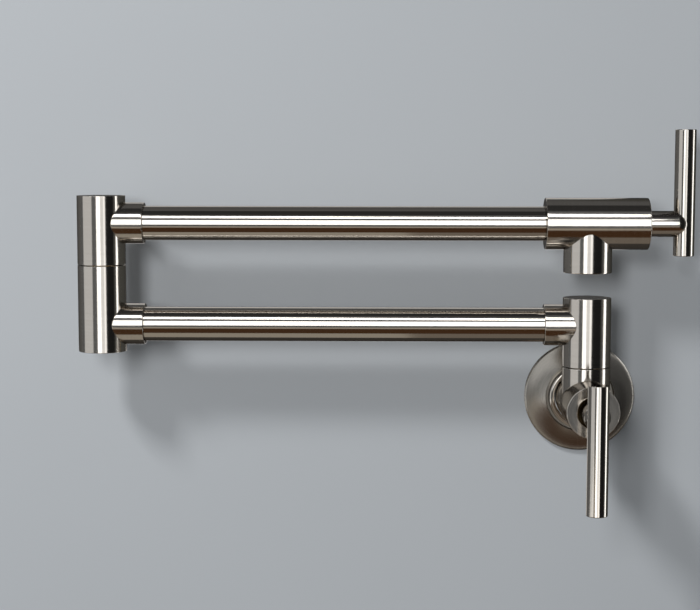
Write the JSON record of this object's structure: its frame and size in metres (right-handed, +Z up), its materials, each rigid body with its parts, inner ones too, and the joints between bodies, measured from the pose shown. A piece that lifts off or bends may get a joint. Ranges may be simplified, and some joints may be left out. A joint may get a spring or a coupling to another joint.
{
  "type": "wall mounted pot filler",
  "caption": "Wall mounted pot filler with two folding arms on swivel joints, a quarter turn valve at the wall and another over the spout.",
  "frame": {"origin": "centre of the round flange, on the face of the wall", "axes": "+X along the wall from the elbow to the outlet with the arms folded, +Y into the wall along the inlet, +Z up"},
  "size_m": [0.3581, 0.1087, 0.2138],
  "materials": {
    "brushed_nickel": "brushed nickel, fine lines round each turned piece",
    "polished_tube": "nickel tube, brushed finer and almost polished",
    "brass": "turned brass",
    "spring_steel": "bright spring steel",
    "ceramic": "lapped alumina ceramic",
    "black_rubber": "moulded seal rubber",
    "white_plastic": "moulded acetal"
  },
  "bodies": {
    "wall_mount": {"inlet_nipple": "brass", "inlet_seal": "black_rubber", "wall_flange": "brushed_nickel", "flange_gasket": "black_rubber", "flange_collar_ring": "brushed_nickel", "collar_grip_ring": "black_rubber", "wall_valve_body": "brushed_nickel", "wall_bonnet": "brushed_nickel", "wall_cartridge_body": "brass", "wall_cartridge_ring": "black_rubber", "wall_seat_seal": "black_rubber", "wall_fixed_disc": "ceramic", "wall_swivel_shaft": "brass", "wall_shaft_lower_ring": "black_rubber", "wall_shaft_middle_ring": "black_rubber", "wall_shaft_upper_ring": "black_rubber", "wall_shaft_circlip": "spring_steel"},
    "wall_handle": {"wall_spindle": "brass", "wall_spindle_ring": "black_rubber", "wall_moving_disc": "ceramic", "wall_handle_stem": "brushed_nickel", "wall_handle_bar": "brushed_nickel", "wall_handle_screw": "spring_steel"},
    "lower_arm": {"lower_pivot_sleeve": "brushed_nickel", "lower_pivot_washer": "white_plastic", "lower_pivot_cap": "brushed_nickel", "lower_arm_tube": "polished_tube", "elbow_lower_sleeve": "brushed_nickel", "elbow_plug": "brushed_nickel", "elbow_plug_ring": "black_rubber", "elbow_swivel_shaft": "brass", "elbow_shaft_lower_ring": "black_rubber", "elbow_shaft_middle_ring": "black_rubber", "elbow_shaft_upper_ring": "black_rubber", "elbow_shaft_circlip": "spring_steel"},
    "upper_arm": {"elbow_upper_sleeve": "brushed_nickel", "elbow_upper_washer": "white_plastic", "elbow_upper_cap": "brushed_nickel", "upper_arm_tube": "polished_tube", "outlet_valve_body": "brushed_nickel", "outlet_bonnet": "brushed_nickel", "outlet_cartridge_body": "brass", "outlet_cartridge_ring": "black_rubber", "outlet_seat_seal": "black_rubber", "outlet_fixed_disc": "ceramic", "aerator_housing": "brass", "aerator_screen": "white_plastic", "aerator_washer": "black_rubber"},
    "outlet_handle": {"outlet_spindle": "brass", "outlet_spindle_ring": "black_rubber", "outlet_moving_disc": "ceramic", "outlet_handle_stem": "brushed_nickel", "outlet_handle_bar": "brushed_nickel", "outlet_handle_screw": "spring_steel"}
  },
  "joints": [
    {"name": "lower_arm_swing", "type": "hinge", "parent": "wall_mount", "child": "lower_arm", "pos_m": [0, -0.0308, 0.022], "axis": [0, 0, 1], "range_deg": [0, 180]},
    {"name": "upper_arm_swing", "type": "hinge", "parent": "lower_arm", "child": "upper_arm", "pos_m": [-0.2828, -0.0308, 0.0809], "axis": [0, 0, -1], "continuous": true},
    {"name": "wall_handle_turn", "type": "hinge", "parent": "wall_mount", "child": "wall_handle", "pos_m": [0, -0.0651, 0], "axis": [0, -1, 0], "range_deg": [0, 90]},
    {"name": "outlet_handle_turn", "type": "hinge", "parent": "upper_arm", "child": "outlet_handle", "pos_m": [0.0343, -0.0308, 0.1052], "axis": [1, 0, 0], "range_deg": [0, 90]}
  ]
}
